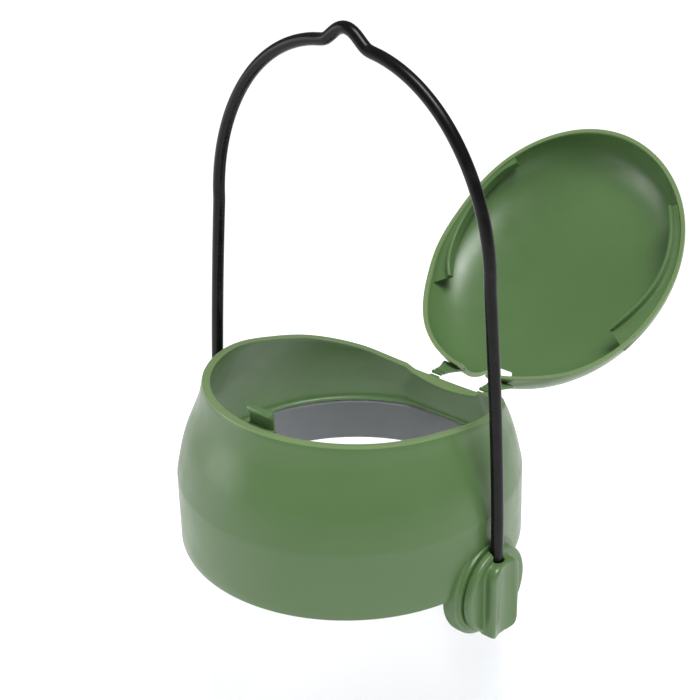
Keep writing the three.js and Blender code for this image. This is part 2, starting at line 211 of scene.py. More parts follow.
def settle(piece, body, slotName, *nodes, sharp=32):  # smooth with sharp edges kept, then the frame's calls
    builder = bmesh.new()
    builder.from_mesh(piece.data)
    bmesh.ops.remove_doubles(builder, verts=builder.verts[:], dist=0.004 * mm)
    bmesh.ops.dissolve_degenerate(builder, edges=builder.edges[:], dist=0.002 * mm)
    for face in builder.faces:
        face.smooth = True
    for edge in builder.edges:
        if len(edge.link_faces) == 2:
            edge.smooth = edge.calc_face_angle(0) < radians(sharp)
    builder.to_mesh(piece.data)
    builder.free()
    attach(piece, body)
    if nodes:
        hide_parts(*nodes)


# Plastics: an even colour with faint flow marks, a fine moulded grain and slightly uneven gloss. Two entries
# are painted light and shade, not other plastics: a near-black green for the bore behind the clear tube,
# painted shade of the gap, and a lighter green for thin rims, painted light shining through the thin edge.
plastics = {
    "green": {"colour": (0.1, 0.188, 0.067), "dark": (0.084, 0.162, 0.055), "roughness": 0.33,
              "grain": 1500, "grainDepth": 0.05, "subsurface": 0.04},
    # Painted shade: the same green plastic made near-black, standing in for the shade in the gap behind the
    # clear tube.
    "greenPaintedShade": {"colour": (0.02, 0.028, 0.026), "dark": (0.014, 0.02, 0.02), "roughness": 0.5,
                    "grain": 1500, "grainDepth": 0.05, "subsurface": 0},
    # Painted light: the same green plastic made lighter, standing in for light shining through thin rims and
    # cut edges.
    "greenEdgePaintedLight": {"colour": (0.18, 0.27, 0.115), "dark": (0.155, 0.24, 0.1), "roughness": 0.34,
                  "grain": 1500, "grainDepth": 0.04, "subsurface": 0.2},
    "yellow": {"colour": (0.8, 0.5, 0.045), "dark": (0.72, 0.43, 0.035), "roughness": 0.3,
               "grain": 1800, "grainDepth": 0.03, "subsurface": 0.1},
}


def newMaterial(name):
    material = bpy.data.materials.new(name)
    material.use_nodes = True
    tree = material.node_tree
    return material, tree, tree.nodes["Principled BSDF"]


def noise(tree, coordinates, scale, detail=3, roughness=0.5):
    node = tree.nodes.new("ShaderNodeTexNoise")
    node.inputs["Scale"].default_value = scale
    node.inputs["Detail"].default_value = detail
    node.inputs["Roughness"].default_value = roughness
    tree.links.new(coordinates, node.inputs["Vector"])
    return node.outputs["Fac"]


def ramp(tree, fac, low, high, start=0.3, end=0.7):
    node = tree.nodes.new("ShaderNodeMapRange")
    node.inputs["From Min"].default_value = start
    node.inputs["From Max"].default_value = end
    node.inputs["To Min"].default_value = low
    node.inputs["To Max"].default_value = high
    tree.links.new(fac, node.inputs["Value"])
    return node.outputs["Result"]


def twoColours(tree, fac, dark, light):
    node = tree.nodes.new("ShaderNodeMix")
    node.data_type = "RGBA"
    node.inputs["A"].default_value = (*dark, 1)
    node.inputs["B"].default_value = (*light, 1)
    tree.links.new(fac, node.inputs["Factor"])
    return node.outputs["Result"]


def bumpFrom(tree, height, depth, distance):
    node = tree.nodes.new("ShaderNodeBump")
    node.inputs["Strength"].default_value = depth
    node.inputs["Distance"].default_value = distance
    tree.links.new(height, node.inputs["Height"])
    return node.outputs["Normal"]


def plastic(name, look):
    material, tree, shader = newMaterial(name)
    where = tree.nodes.new("ShaderNodeTexCoord").outputs["Object"]
    flow = ramp(tree, noise(tree, where, 22, 2), 0, 1)
    tree.links.new(twoColours(tree, flow, look["dark"], look["colour"]), shader.inputs["Base Color"])
    uneven = noise(tree, where, 160, 4)
    tree.links.new(ramp(tree, uneven, look["roughness"] - 0.04, look["roughness"] + 0.06),
                   shader.inputs["Roughness"])
    grain = noise(tree, where, look["grain"], 2)
    tree.links.new(bumpFrom(tree, grain, look["grainDepth"], 0.0002), shader.inputs["Normal"])
    shader.inputs["Subsurface Weight"].default_value = look["subsurface"]
    shader.inputs["Subsurface Radius"].default_value = (0.5, 1, 0.3)
    shader.inputs["Subsurface Scale"].default_value = 0.0012
    shader.inputs["Specular IOR Level"].default_value = 0.5
    return material


wireLook = {"dark": (0.004, 0.004, 0.0045), "worn": (0.009, 0.009, 0.01)}


def coatedWire():
    material, tree, shader = newMaterial("coatedWire")
    where = tree.nodes.new("ShaderNodeTexCoord").outputs["Object"]
    wear = ramp(tree, noise(tree, where, 260, 3), 0, 1, 0.45, 0.75)
    tree.links.new(twoColours(tree, wear, wireLook["dark"], wireLook["worn"]), shader.inputs["Base Color"])
    tree.links.new(ramp(tree, noise(tree, where, 120, 3), 0.22, 0.3), shader.inputs["Roughness"])
    tree.links.new(bumpFrom(tree, noise(tree, where, 90, 2), 0.06, 0.0004), shader.inputs["Normal"])
    shader.inputs["Specular IOR Level"].default_value = 0.2
    return material


def clearPlastic():
    material, tree, shader = newMaterial("clearPlastic")
    where = tree.nodes.new("ShaderNodeTexCoord").outputs["Object"]
    shader.inputs["Base Color"].default_value = (0.86, 0.9, 0.96, 1)
    tree.links.new(ramp(tree, noise(tree, where, 90, 3), 0.03, 0.08), shader.inputs["Roughness"])
    facing = tree.nodes.new("ShaderNodeLayerWeight")
    facing.inputs["Blend"].default_value = 0.22
    tree.links.new(ramp(tree, facing.outputs["Facing"], 0.05, 0.5, 0, 1), shader.inputs["Alpha"])
    tree.links.new(bumpFrom(tree, noise(tree, where, 35, 2), 0.04, 0.0006), shader.inputs["Normal"])
    shader.inputs["IOR"].default_value = 1.49
    return material


rubberLook = {"dark": (0.018, 0.018, 0.019), "dusty": (0.035, 0.035, 0.036)}


def sealRubber():
    material, tree, shader = newMaterial("sealRubber")
    where = tree.nodes.new("ShaderNodeTexCoord").outputs["Object"]
    dust = ramp(tree, noise(tree, where, 300, 4), 0, 1)
    colour = twoColours(tree, dust, rubberLook["dark"], rubberLook["dusty"])
    tree.links.new(colour, shader.inputs["Base Color"])
    tree.links.new(ramp(tree, dust, 0.6, 0.78, 0, 1), shader.inputs["Roughness"])
    tree.links.new(bumpFrom(tree, noise(tree, where, 1200, 2), 0.15, 0.0002), shader.inputs["Normal"])
    return material


green = plastic("greenPlastic", plastics["green"])
# Lighter green for rims and cut edges: painted light through the thin plastic.
greenEdgePaintedLight = plastic("greenEdgePaintedLight", plastics["greenEdgePaintedLight"])
# Near-black green for the collar's bore behind the tube: painted shade of the gap.
greenPaintedShade = plastic("greenPaintedShade", plastics["greenPaintedShade"])
yellow = plastic("yellowPlastic", plastics["yellow"])
black = coatedWire()
clear = clearPlastic()
rubber = sealRubber()
print("materials made")


collar = {
    "steps": 240,
    "wall": 2.3,
    "ledgeRadius": 43.8,
    "ledgeLow": 13.5,
    "ledgeHigh": 14.7,
    "panelHalfWidth": 15,
    "reliefHalfWidth": 13,
    "reliefDepth": 1.2,
    "lipRound": 0.35,
    "bossRadius": 14,
    "bossFace": 47.5,
    "pinHole": 1.975,
    "strapSpacing": 17.2,
    "strapRoot": 8,
    "strapNeck": 3.5,
    "strapThickness": 1,
    "tongueLength": 6.6,
}


def rimTop(angle):  # height of the rim on the dome's outside, at an angle about Z
    height = 35
    for _ in range(40):
        height = 0.5 * height + 0.5 * rimHeight(domeRadius(height) * sin(angle))
    x, y = domeRadius(height) * cos(angle), domeRadius(height) * sin(angle)
    inRelief = stepUp(collar["reliefHalfWidth"] - abs(x), -0.4, 0.4) if y > 0 else 0
    return height - collar["reliefDepth"] * inRelief


def collarSection(angle):  # closed loop of (radius, height), then its sides on the rim and in the tube's bore
    radius, bore, wall = head["radius"], head["boreRadius"], collar["wall"]
    panelPlace = sqrt((radius - wall) ** 2 - collar["panelHalfWidth"] ** 2)
    top = rimTop(angle)
    lip = collar["lipRound"]

    def inside(height):
        r = domeRadius(height) - wall
        return min(r, panelPlace / sin(angle)) if sin(angle) > 0.9 else r

    loop = [(radius - 0.3, 0), (radius - 0.08, 0.08), (radius, 0.3)]
    loop += [(radius, z) for z in (2.5, 5, 7.5, 10, 12.5, 15, 17.5, 19)]
    loop += [(radius - 0.02, 19.6), (radius - 0.12, 20.2)]
    rows = 16
    for i in range(1, rows + 1):
        height = 20.2 + (top - lip - 20.2) * i / rows
        loop.append((domeRadius(height) - 0.12 * (1 - i / rows), height))
    outer, inner = domeRadius(top), inside(top)
    edgeStart = len(loop) - 1
    loop += [(outer - lip * 0.3, top - lip * 0.3), (outer - lip, top), ((outer + inner) / 2, top),
             (inner + lip, top), (inner + lip * 0.3, top - lip * 0.3)]
    edgeEnd = len(loop)
    ledge = collar["ledgeHigh"]
    for i in range(rows + 1):
        height = top - lip + (ledge + 0.6 - top + lip) * i / rows
        loop.append((inside(height), height))
    rim = collar["ledgeRadius"]
    low = collar["ledgeLow"]
    loop += [(inside(ledge) - 0.2, ledge + 0.15), (inside(ledge) - 0.7, ledge), (rim + 0.25, ledge),
             (rim, ledge - 0.25), (rim, low + 0.25), (rim + 0.25, low), (bore, low)]
    boreStart = len(loop) - 1
    loop += [(bore, z) for z in (11, 8.5, 6, 3.5, 1)]
    loop += [(bore, 0.3), (bore + 0.3, 0)]
    return loop, (edgeStart, edgeEnd), (boreStart, len(loop) - 2)


def collarPiece():
    rings = []
    for i in range(collar["steps"]):
        angle = 2 * pi * i / collar["steps"]
        loop, rim, bore = collarSection(angle)
        rings.append([(r * cos(angle), r * sin(angle), z + head["collarHeight"]) for r, z in loop])
    mesh = gridMesh("collarShell", rings)
    count = len(rings[0])
    for face in mesh.polygons:
        side = face.index % count
        # Rim faces get the lighter green, painted light through the thin edge; bore faces behind the tube get
        # the near-black green, painted shade of the gap between tube and collar.
        face.material_index = 1 if rim[0] <= side < rim[1] else 2 if bore[0] <= side < bore[1] else 0
    piece = place("collarShell", mesh, green, greenEdgePaintedLight, greenPaintedShade)
    joins = []
    for side in (-1, 1):
        boss = place("boss", bossMesh(side), green)
        trimRadius = head["boreRadius"] + 0.02
        trimLine = [(0, 150), (trimRadius, 150), (trimRadius, 215), (0, 215)]
        trim = place("trim", solidLathe("trim", trimLine, collar["steps"]), green)
        combine(boss, [trim], "DIFFERENCE")
        joins.append(boss)
        joins.append(place("tongue", tongueMesh(side), green))
    joins += catchPieces()
    combine(piece, joins, "UNION")
    holes = []
    holeLine = [(0, 40), (collar["pinHole"], 40), (collar["pinHole"], 49), (0, 49)]
    for side in (-1, 1):
        holes.append(place("hole", solidLathe("hole", holeLine, 24, pivotTurn(side)), green))
    combine(piece, holes, "DIFFERENCE")
    settle(piece, "head", "green_plastic", "collar")


def pivotTurn(side):  # from a piece built about Z to one that points outwards at the bail's pivot
    pivot = Matrix.Translation((0, 0, head["collarHeight"] + head["pivotHeight"]))
    return pivot @ Matrix.Rotation(side * pi / 2, 4, "Y")


def bossMesh(side):  # a stepped round boss standing out of the collar's side, about the bail's pivot
    face, radius = collar["bossFace"], collar["bossRadius"]
    line = [(0, 38), (radius, 38), (radius, face - 1.5), (radius - 0.1, face - 1.2),
            (radius - 0.4, face - 1.05), (radius - 0.9, face - 1), (radius - 1.1, face - 0.85),
            (radius - 1.2, face - 0.3), (radius - 1.35, face - 0.1), (radius - 1.7, face), (0, face)]
    return solidLathe("boss", line, 96, pivotTurn(side))


def strapOutline(length):
    root, neck = collar["strapRoot"] / 2, collar["strapNeck"] / 2
    return roundedLoop([(-neck, 0, 0.4), (neck, 0, 0.4), (neck + 0.1, length * 0.3, 2),
                        (root, length, 0.2), (-root, length, 0.2), (-neck - 0.1, length * 0.3, 2)], 3)


def tongueMesh(side):
    height = head["collarHeight"] + head["foldHeight"] - collar["strapThickness"] - 0.3
    spot = Matrix.Translation((side * collar["strapSpacing"] / 2, head["foldPlace"] - 0.9, height))
    turn = spot @ Matrix.Rotation(pi, 4, "Z")
    return slab("tongue", strapOutline(collar["tongueLength"]), 0, collar["strapThickness"], turn, 0.2)


catch = {"halfWidth": 4.3, "place": -34.2, "barHeight": 50.7, "barRadius": 1, "tabLow": 43, "tabHigh": 46.3,
         "plateLow": 45}


def catchPieces():  # a tab level with the rim, a thin plate on it, and a round bar along the plate's top
    half, y, z = catch["halfWidth"], catch["place"], head["collarHeight"]
    radius = catch["barRadius"]
    tab = roundedLoop([(-half, y - 3.2, 0.2), (half, y - 3.2, 0.2),
                       (half, y + 1, 0.5), (-half, y + 1, 0.5)], 3)
    inner = half - 0.3
    plate = roundedLoop([(-inner, y + 0.1, 0.2), (inner, y + 0.1, 0.2), (inner, y + 0.9, 0.2),
                         (-inner, y + 0.9, 0.2)], 3)
    line = [(0, -half), (radius * 0.5, -half + 0.06), (radius * 0.86, -half + 0.25), (radius, -half + 0.6),
            (radius, half - 0.6), (radius * 0.86, half - 0.25), (radius * 0.5, half - 0.06), (0, half)]
    turn = Matrix.Translation((0, y, z + catch["barHeight"])) @ Matrix.Rotation(pi / 2, 4, "Y")
    plateLow, plateHigh = z + catch["plateLow"], z + catch["barHeight"]
    return [place("tab", slab("tab", tab, z + catch["tabLow"], z + catch["tabHigh"], edge=0.2), green),
            place("plate", slab("plate", plate, plateLow, plateHigh, edge=0.1), green),
            place("bar", solidLathe("bar", line, 32, turn), green)]


collarPiece()
print("collar made")


lid = {
    "steps": 200,
    "rise": 19,
    "wall": 1.4,
    "bulge": 1.015,
    "halfWidth": 39.88,
    "back": (46.695, 27),
    "front": (-39.551, 48),
    "notchHalfWidth": 5,
    "notchTopHalfWidth": 3,
    "notchDepth": 6,
    "ribRadius": 35.6,
    "ribThickness": 1,
    "ribBack": 20,
    "ribFront": -22,
}

# The lid's outline: width as a share, and height as a share of its rise.
lidLine = [(1.03, -0.4), (1, 0), (0.995, 0.21), (0.965, 0.42), (0.9, 0.63), (0.77, 0.8), (0.55, 0.92),
           (0.3, 0.98), (0, 1)]


def openLid():  # from the closed lid, in the collar's frame, to the open lid in the whole trap's frame
    fold = Vector((0, head["foldPlace"], head["foldHeight"]))
    return (Matrix.Translation((0, 0, head["collarHeight"])) @ Matrix.Translation(fold)
            @ Matrix.Rotation(-radians(head["lidAngle"]), 4, "X") @ Matrix.Translation(-fold))


def lidSpot(angle, share, inset):  # a point on the closed lid's dome
    back, front = Vector(lid["back"]), Vector(lid["front"])
    width, height = curveAt(lidLine, share)
    rise = lid["rise"] - inset
    across = (lid["halfWidth"] * lid["bulge"] - inset) * width * cos(angle)
    along = ((back - front).length / 2 - inset) * width * sin(angle)
    middle = (back + front) / 2
    slope = (back - front).normalized()
    up = Vector((-slope.y, slope.x)) * height * rise
    spot = middle + slope * along + up
    return Vector((across, spot.x, spot.y))


def lidEdge(angle, inset):  # share along the dome's outline where it meets the rim's gap
    low, high = 0, 0.6
    for _ in range(30):
        share = (low + high) / 2
        spot = lidSpot(angle, share, inset)
        if spot.z < rimHeight(spot.y) + head["lidGap"]:
            low = share
        else:
            high = share
    return low


def lidShell():
    turn = openLid()
    rows = 26
    wall = lid["wall"]
    rings = []
    for i in range(lid["steps"]):
        angle = 2 * pi * i / lid["steps"]
        outer, inner = lidEdge(angle, 0), lidEdge(angle, wall)
        column = []
        for k in range(rows, 0, -1):
            column.append(lidSpot(angle, outer + 0.012 + (0.97 - outer) * (k / rows) ** 1.3 * 0.985, 0))
        column.append(lidSpot(angle, outer + 0.012, 0))
        outside, insideEdge = lidSpot(angle, outer, 0), lidSpot(angle, inner, wall)
        column.append(outside.lerp(insideEdge, 0.12))
        column.append(outside.lerp(insideEdge, 0.5))
        column.append(outside.lerp(insideEdge, 0.88))
        column.append(lidSpot(angle, inner + 0.012, wall))
        for k in range(1, rows + 1):
            column.append(lidSpot(angle, inner + 0.012 + (0.97 - inner) * (k / rows) ** 1.3 * 0.985, wall))
        rings.append([turn @ spot for spot in column])
    mesh = bpy.data.meshes.new("lidShell")
    builder = bmesh.new()
    grid = [[builder.verts.new(p * mm) for p in ring] for ring in rings]
    poles = [builder.verts.new((turn @ lidSpot(0, 1, inset)) * mm) for inset in (0, wall)]
    for i in range(lid["steps"]):
        here, there = grid[i], grid[(i + 1) % lid["steps"]]
        for k in range(len(here) - 1):
            face = builder.faces.new((here[k], here[k + 1], there[k + 1], there[k]))
            # Rim faces take the lighter green: painted light through the thin edge.
            face.material_index = 1 if rows <= k < rows + 4 else 0
        builder.faces.new((poles[0], here[0], there[0]))
        builder.faces.new((poles[1], there[-1], here[-1]))
    bmesh.ops.recalc_face_normals(builder, faces=builder.faces[:])
    builder.to_mesh(mesh)
    builder.free()
    return place("lidShell", mesh, green, greenEdgePaintedLight)


def ribMesh(side):  # an arc rib inside the lid's edge, which drops into the collar's mouth
    turn = openLid()
    rings = []
    start, end = asinOf(lid["ribFront"] / lid["ribRadius"]), asinOf(lid["ribBack"] / lid["ribRadius"])
    steps = 40
    outerRadius = lid["ribRadius"]
    innerRadius = outerRadius - lid["ribThickness"]
    for i in range(steps + 1):
        angle = start + (end - start) * i / steps
        x, y = side * cos(angle), sin(angle)
        wallAngle = angle if side > 0 else pi - angle
        wallSpot = lidSpot(wallAngle, lidEdge(wallAngle, lid["wall"]) + 0.06, lid["wall"] * 0.5)
        reach = Vector((wallSpot.x, wallSpot.y)).length
        level = rimHeight(outerRadius * y)
        taper = min(i, steps - i) / 2
        drop = 1.6 * min(1, 0.4 + 0.3 * taper)
        section = [(innerRadius, level + 1.8), (innerRadius, level - drop + 0.3),
                   (innerRadius + 0.3, level - drop), (outerRadius - 0.3, level - drop),
                   (outerRadius, level - drop + 0.3), (outerRadius, level + 0.9),
                   (reach, level + 0.9), (reach, level + 1.8)]
        rings.append([turn @ Vector((r * x, r * y, z)) for r, z in section])
    return gridMesh("rib", rings, closed=False, caps=True)


def asinOf(share):
    return pi / 2 - acos(share)


def lidStrap(side):  # from the fold up to the lid's edge, in the plane through both
    turn = openLid()
    fold = Vector((head["foldPlace"], head["foldHeight"]))
    toEdge = Vector((lid["back"][0], lid["back"][1] + 1)) - fold
    angle = acos(toEdge.x / toEdge.length)
    frameTurn = (turn @ Matrix.Translation((side * collar["strapSpacing"] / 2, fold.x, fold.y))
                 @ Matrix.Rotation(angle, 4, "X")
                 @ Matrix.Translation((0, 0.9, -collar["strapThickness"] / 2)))
    outline = strapOutline(toEdge.length + 0.6)
    return slab("lidStrap", outline, 0, collar["strapThickness"], frameTurn, 0.2)


def lidPiece():
    piece = lidShell()
    turn = openLid()
    wide, narrow, back = lid["notchHalfWidth"], lid["notchTopHalfWidth"], lid["back"][0]
    shoulder = 0.7 * wide + 0.3 * narrow
    depth = lid["notchDepth"]
    sideLine = [(wide, head["foldPlace"], 0), (wide, back - 0.4, 2), (shoulder, back - 0.6 * depth, 2),
                (narrow, back - depth, 1.2)]
    outline = roundedLoop(sideLine + [(-x, y, r) for x, y, r in sideLine[::-1]], 6)
    # The notch's cut walls take the cutter's lighter green: painted light through the thin edge.
    notch = place("notch", slab("notch", outline, 15, 60, turn, edge=0.01), greenEdgePaintedLight)
    combine(piece, [notch], "DIFFERENCE")
    joins = [place("rib", ribMesh(side), green) for side in (-1, 1)]
    joins += [place("lidStrap", lidStrap(side), green) for side in (-1, 1)]
    combine(piece, joins, "UNION")
    settle(piece, "lid", "green_plastic", "lid")


lidPiece()
for nodeName in ("hinge_web_left", "hinge_web_right"):
    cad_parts[nodeName].data.materials.clear()
    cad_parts[nodeName].data.materials.append(green)
print("lid made")


bail = {
    "wireRadius": 1.675,
    "legPlace": 49.675,
    "pinEnd": 45.95,
    "bend": 2.4,
    "hookTop": 14,
    "straight": 86,
    "height": 141.4,
    "narrowing": 4.1,
    "humpHeight": 4.6,
    "humpHalfWidth": 8,
    "crownDip": 1.2,
    "lean": 1.2,
    "sides": 24,
    "endTaper": 0.82,
}


def bailLine():  # half of the bail, from the pin's end to the crown, as (x, height) about the pivot
    leg, bend = bail["legPlace"], bail["bend"]
    line = [(bail["pinEnd"], 0)]
    for i in range(9):
        turn = pi / 2 * i / 8
        line.append((leg - bend + bend * sin(turn), bend * (1 - cos(turn))))
    for i in range(0, 15):
        share = i / 14
        line.append((leg - bail["narrowing"] * share ** 1.5,
                     bail["hookTop"] + (bail["straight"] - bail["hookTop"]) * share))
    shoulder = leg - bail["narrowing"]
    rise = bail["height"] - bail["straight"]
    last = acos(bail["humpHalfWidth"] / shoulder)
    for i in range(1, 25):
        turn = last * i / 24
        dip = bail["crownDip"] * max(0, (i - 12) / 12) ** 2
        line.append((shoulder * cos(turn), bail["straight"] + rise * sin(turn) - dip))
    crown = bail["straight"] + rise * sin(last) - bail["crownDip"]
    for share, lift in ((0.8, 0.13), (0.6, 0.42), (0.4, 0.73), (0.2, 0.93)):
        line.append((share * bail["humpHalfWidth"], crown + lift * bail["humpHeight"]))
    return line, crown + bail["humpHeight"]


def bailTurn():
    return (Matrix.Translation((0, 0, head["collarHeight"] + head["pivotHeight"]))
            @ Matrix.Rotation(-radians(bail["lean"]), 4, "X"))


def bailPiece():
    half, crown = bailLine()
    route = [(-x, z) for x, z in half] + [(0, crown)] + half[::-1]
    spots = []
    for i in range(len(route) - 1):  # two steps between points, on a smooth curve
        spots += [curveAt(route, (i + t) / (len(route) - 1)) for t in (0, 0.5)]
    spots.append(route[-1])
    turn = bailTurn()
    rings = []
    last = len(spots) - 1
    radius = bail["wireRadius"]
    for i, (x, z) in enumerate(spots):
        ahead = Vector(spots[min(i + 1, last)]) - Vector(spots[max(i - 1, 0)])
        ahead.normalize()
        size = radius * (bail["endTaper"] if i in (0, last) else 1)
        ring = []
        for k in range(bail["sides"]):
            angle = 2 * pi * k / bail["sides"]
            out = size * cos(angle)
            ring.append(turn @ Vector((x - ahead.y * out, size * sin(angle), z + ahead.x * out)))
        rings.append(ring)
    piece = place("bailWire", gridMesh("bailWire", rings, closed=False, caps=True), black)
    settle(piece, "bail", "coated_wire", "bail_wire", sharp=50)


bailPiece()
print("bail made")


grip = {
    "radius": 12.2,
    "face": 47.85,
    "thickness": 2.3,
    "barHalfWidth": 6.2,
    "barTop": 9.5,
    "barBottom": -13,
    "barReach": 5.4,
    "groove": 0.9,
    "grooveTilt": 2,
    "grooveRadius": 9,
    "voxel": 0.28,
    "smoothing": 6,
}


def gripPiece(side, node):
    face, reach = grip["face"], grip["barReach"]
    thickness, radius = grip["thickness"], grip["radius"]
    turn = bailTurn() @ (Matrix.Identity(4) if side > 0 else Matrix.Rotation(pi, 4, "Z"))
    outward = turn @ Matrix.Rotation(pi / 2, 4, "Y")
    plate = place("grip" + node[5:].title(), solidLathe("grip", [
        (0, face), (radius - 0.3, face), (radius, face + 0.3), (radius, face + thickness - 0.7),
        (radius - 0.25, face + thickness - 0.2), (radius - 0.8, face + thickness), (0, face + thickness)],
        96, outward), green)
    barHalf, top, bottom = grip["barHalfWidth"], grip["barTop"], grip["barBottom"]
    # The bar's outline, in (Z, Y) of the turned frame: wide at the top, a little narrower at the bottom.
    outline = roundedLoop([(-top, barHalf - 0.3, 4.5), (-top, -barHalf + 0.3, 4.5),
                           (-bottom, -barHalf + 0.6, 3.2), (-bottom, barHalf - 0.6, 3.2)], 8)
    bar = place("bar", slab("bar", outline, face, face + reach, outward, edge=1.1), green)
    combine(plate, [bar], "UNION")
    hollowTurn = (turn @ Matrix.Translation((face + reach + grip["grooveRadius"] - grip["groove"], 0, 0))
                  @ Matrix.Rotation(radians(grip["grooveTilt"]), 4, "Y"))
    hollowRadius = grip["grooveRadius"]
    hollowLine = [(0, bottom - 3), (hollowRadius, bottom - 3), (hollowRadius, top + 3), (0, top + 3)]
    hollow = place("hollow", solidLathe("hollow", hollowLine, 64, hollowTurn), green)
    spots = [spot for spot in bailLine()[0] if spot[1] < bail["hookTop"] + 1]
    rings = []
    channel = bail["wireRadius"] + 0.3
    spots = [(spots[0][0] - 2, 0)] + spots[:-1] + [(spots[-1][0], 17)]
    for i, (x, z) in enumerate(spots):
        ahead = (Vector(spots[min(i + 1, len(spots) - 1)]) - Vector(spots[max(i - 1, 0)])).normalized()
        ring = []
        for k in range(20):
            out, across = channel * cos(2 * pi * k / 20), channel * sin(2 * pi * k / 20)
            ring.append(turn @ Vector((x - ahead.y * out, across, z + ahead.x * out)))
        rings.append(ring)
    wireWay = place("wireWay", gridMesh("wireWay", rings, closed=False, caps=True), green)
    combine(plate, [hollow, wireWay], "DIFFERENCE")
    remesh = plate.modifiers.new("soften", "REMESH")
    remesh.mode = "VOXEL"
    remesh.voxel_size = grip["voxel"] * mm
    smoothing = plate.modifiers.new("smooth", "SMOOTH")
    smoothing.factor = 0.5
    smoothing.iterations = grip["smoothing"]
    combine(plate, [], "UNION")
    settle(plate, "bail", "green_plastic", node, sharp=60)


gripPiece(-1, "grip_left")
gripPiece(1, "grip_right")
print("grips made")


tube = {"low": 9.3, "high": 198.2, "portHeight": 64, "portBore": 8.8, "spigotWall": 1.8, "gap": 0.35,
        "steps": 192}


def portTurn(i):  # from a piece built about Z to one that points outwards at port i
    return (Matrix.Translation((0, 0, tube["portHeight"])) @ Matrix.Rotation(i * pi / 2, 4, "Z")
            @ Matrix.Rotation(pi / 2, 4, "Y"))


def tubePiece():
    radius, wall = head["tubeRadius"], head["tubeWall"]
    low, high = tube["low"], tube["high"]
    loop = roundedLoop([(radius - wall, low, 0.5), (radius, low, 0.5), (radius, high, 0.5),
                        (radius - wall, high, 0.5)], 3)
    piece = place("clearTube", lathe("clearTube", loop, tube["steps"]), clear)
    hole = tube["portBore"] + tube["spigotWall"] + tube["gap"]
    cutLine = [(0, 38), (hole, 38), (hole, 48), (0, 48)]
    cuts = [place("port", solidLathe("port", cutLine, 64, portTurn(i)), clear) for i in range(4)]
    combine(piece, cuts, "DIFFERENCE")
    settle(piece, "head", "clear_plastic", "clear_tube")


tubePiece()
print("tube made")


port = {"bezelRadius": 14, "bezelReach": 4.3, "funnelTip": 4.2, "funnelTipPlace": 20, "funnelWall": 1.2,
        "funnelLip": 1.2, "gap": 0.3}


def bezelPiece(i):  # a round flange that saddles on the tube, with a short spigot through its wall
    face = head["tubeRadius"] + port["bezelReach"]
    bore, spigot = tube["portBore"], tube["portBore"] + tube["spigotWall"]
    back = head["tubeRadius"] - head["tubeWall"] - 2.5
    steps = 96
    rings = []
    for k in range(steps):
        angle = 2 * pi * k / steps

        def saddle(radius):
            return sqrt((head["tubeRadius"] + port["gap"]) ** 2 - (radius * sin(angle)) ** 2)

        outer = port["bezelRadius"]
        corners = [(bore, back, 0.3), (bore, face, 0.5), (bore + 2.2, face, 0.4),
                   (bore + 2.6, face - 0.5, 0.3), (bore + 3.2, face - 0.5, 0.3), (bore + 3.6, face, 0.4),
                   (outer - 1.4, face, 0.8), (outer, face - 1.6, 0.8), (outer, saddle(outer), 0.2),
                   (spigot, saddle(spigot), 0.2), (spigot, back, 0.3)]
        loop = roundedLoop(corners, 3)
        rings.append([portTurn(i) @ Vector((r * cos(angle), r * sin(angle), z)) for r, z in loop])
    piece = place("portBezel" + str(i + 1), gridMesh("portBezel", rings), green)
    settle(piece, "head", "green_plastic", "port_bezel_" + str(i + 1))


def funnelPiece(i):  # a cone from the bezel's mouth to a small inner opening, with foothold rings inside
    face = head["tubeRadius"] + port["bezelReach"] + port["gap"]
    barrel = tube["portBore"] - port["gap"]
    neck = head["tubeRadius"] - head["tubeWall"] - 2.5
    tip, tipPlace, wall = port["funnelTip"], port["funnelTipPlace"], port["funnelWall"]
    lip = barrel + 1.7
    lipTop = face + port["funnelLip"]
    corners = [(tip, tipPlace, 0.3), (tip + wall, tipPlace, 0.4), (barrel, neck, 1.5), (barrel, face, 0.2),
               (lip, face, 0.3), (lip, lipTop, 0.5), (barrel - wall, lipTop, 0.6),
               (barrel - wall, neck + 1, 1.5)]
    for ring in range(6, 0, -1):  # the rings stand inwards by a little
        share = ring / 7
        ringPlace = tipPlace + (neck - tipPlace) * share
        radius = tip + (barrel - wall - tip) * share
        corners += [(radius + 0.05, ringPlace + 0.5, 0.1), (radius - 0.25, ringPlace, 0.15),
                    (radius - 0.02, ringPlace - 0.4, 0.1)]
    mesh = lathe("entryFunnel", roundedLoop(corners, 3), 72, portTurn(i))
    piece = place("entryFunnel" + str(i + 1), mesh, yellow)
    settle(piece, "head", "yellow_plastic", "entry_funnel_" + str(i + 1))


for portNumber in range(4):
    bezelPiece(portNumber)
    funnelPiece(portNumber)
print("ports made")


base = {"radius": 47, "flare": 5, "shelf": 9, "floor": 4, "height": 40, "sealHeight": 36, "sealSection": 0.9,
        "gap": 0.3, "ribs": 60, "ribDepth": 0.45, "steps": 360}


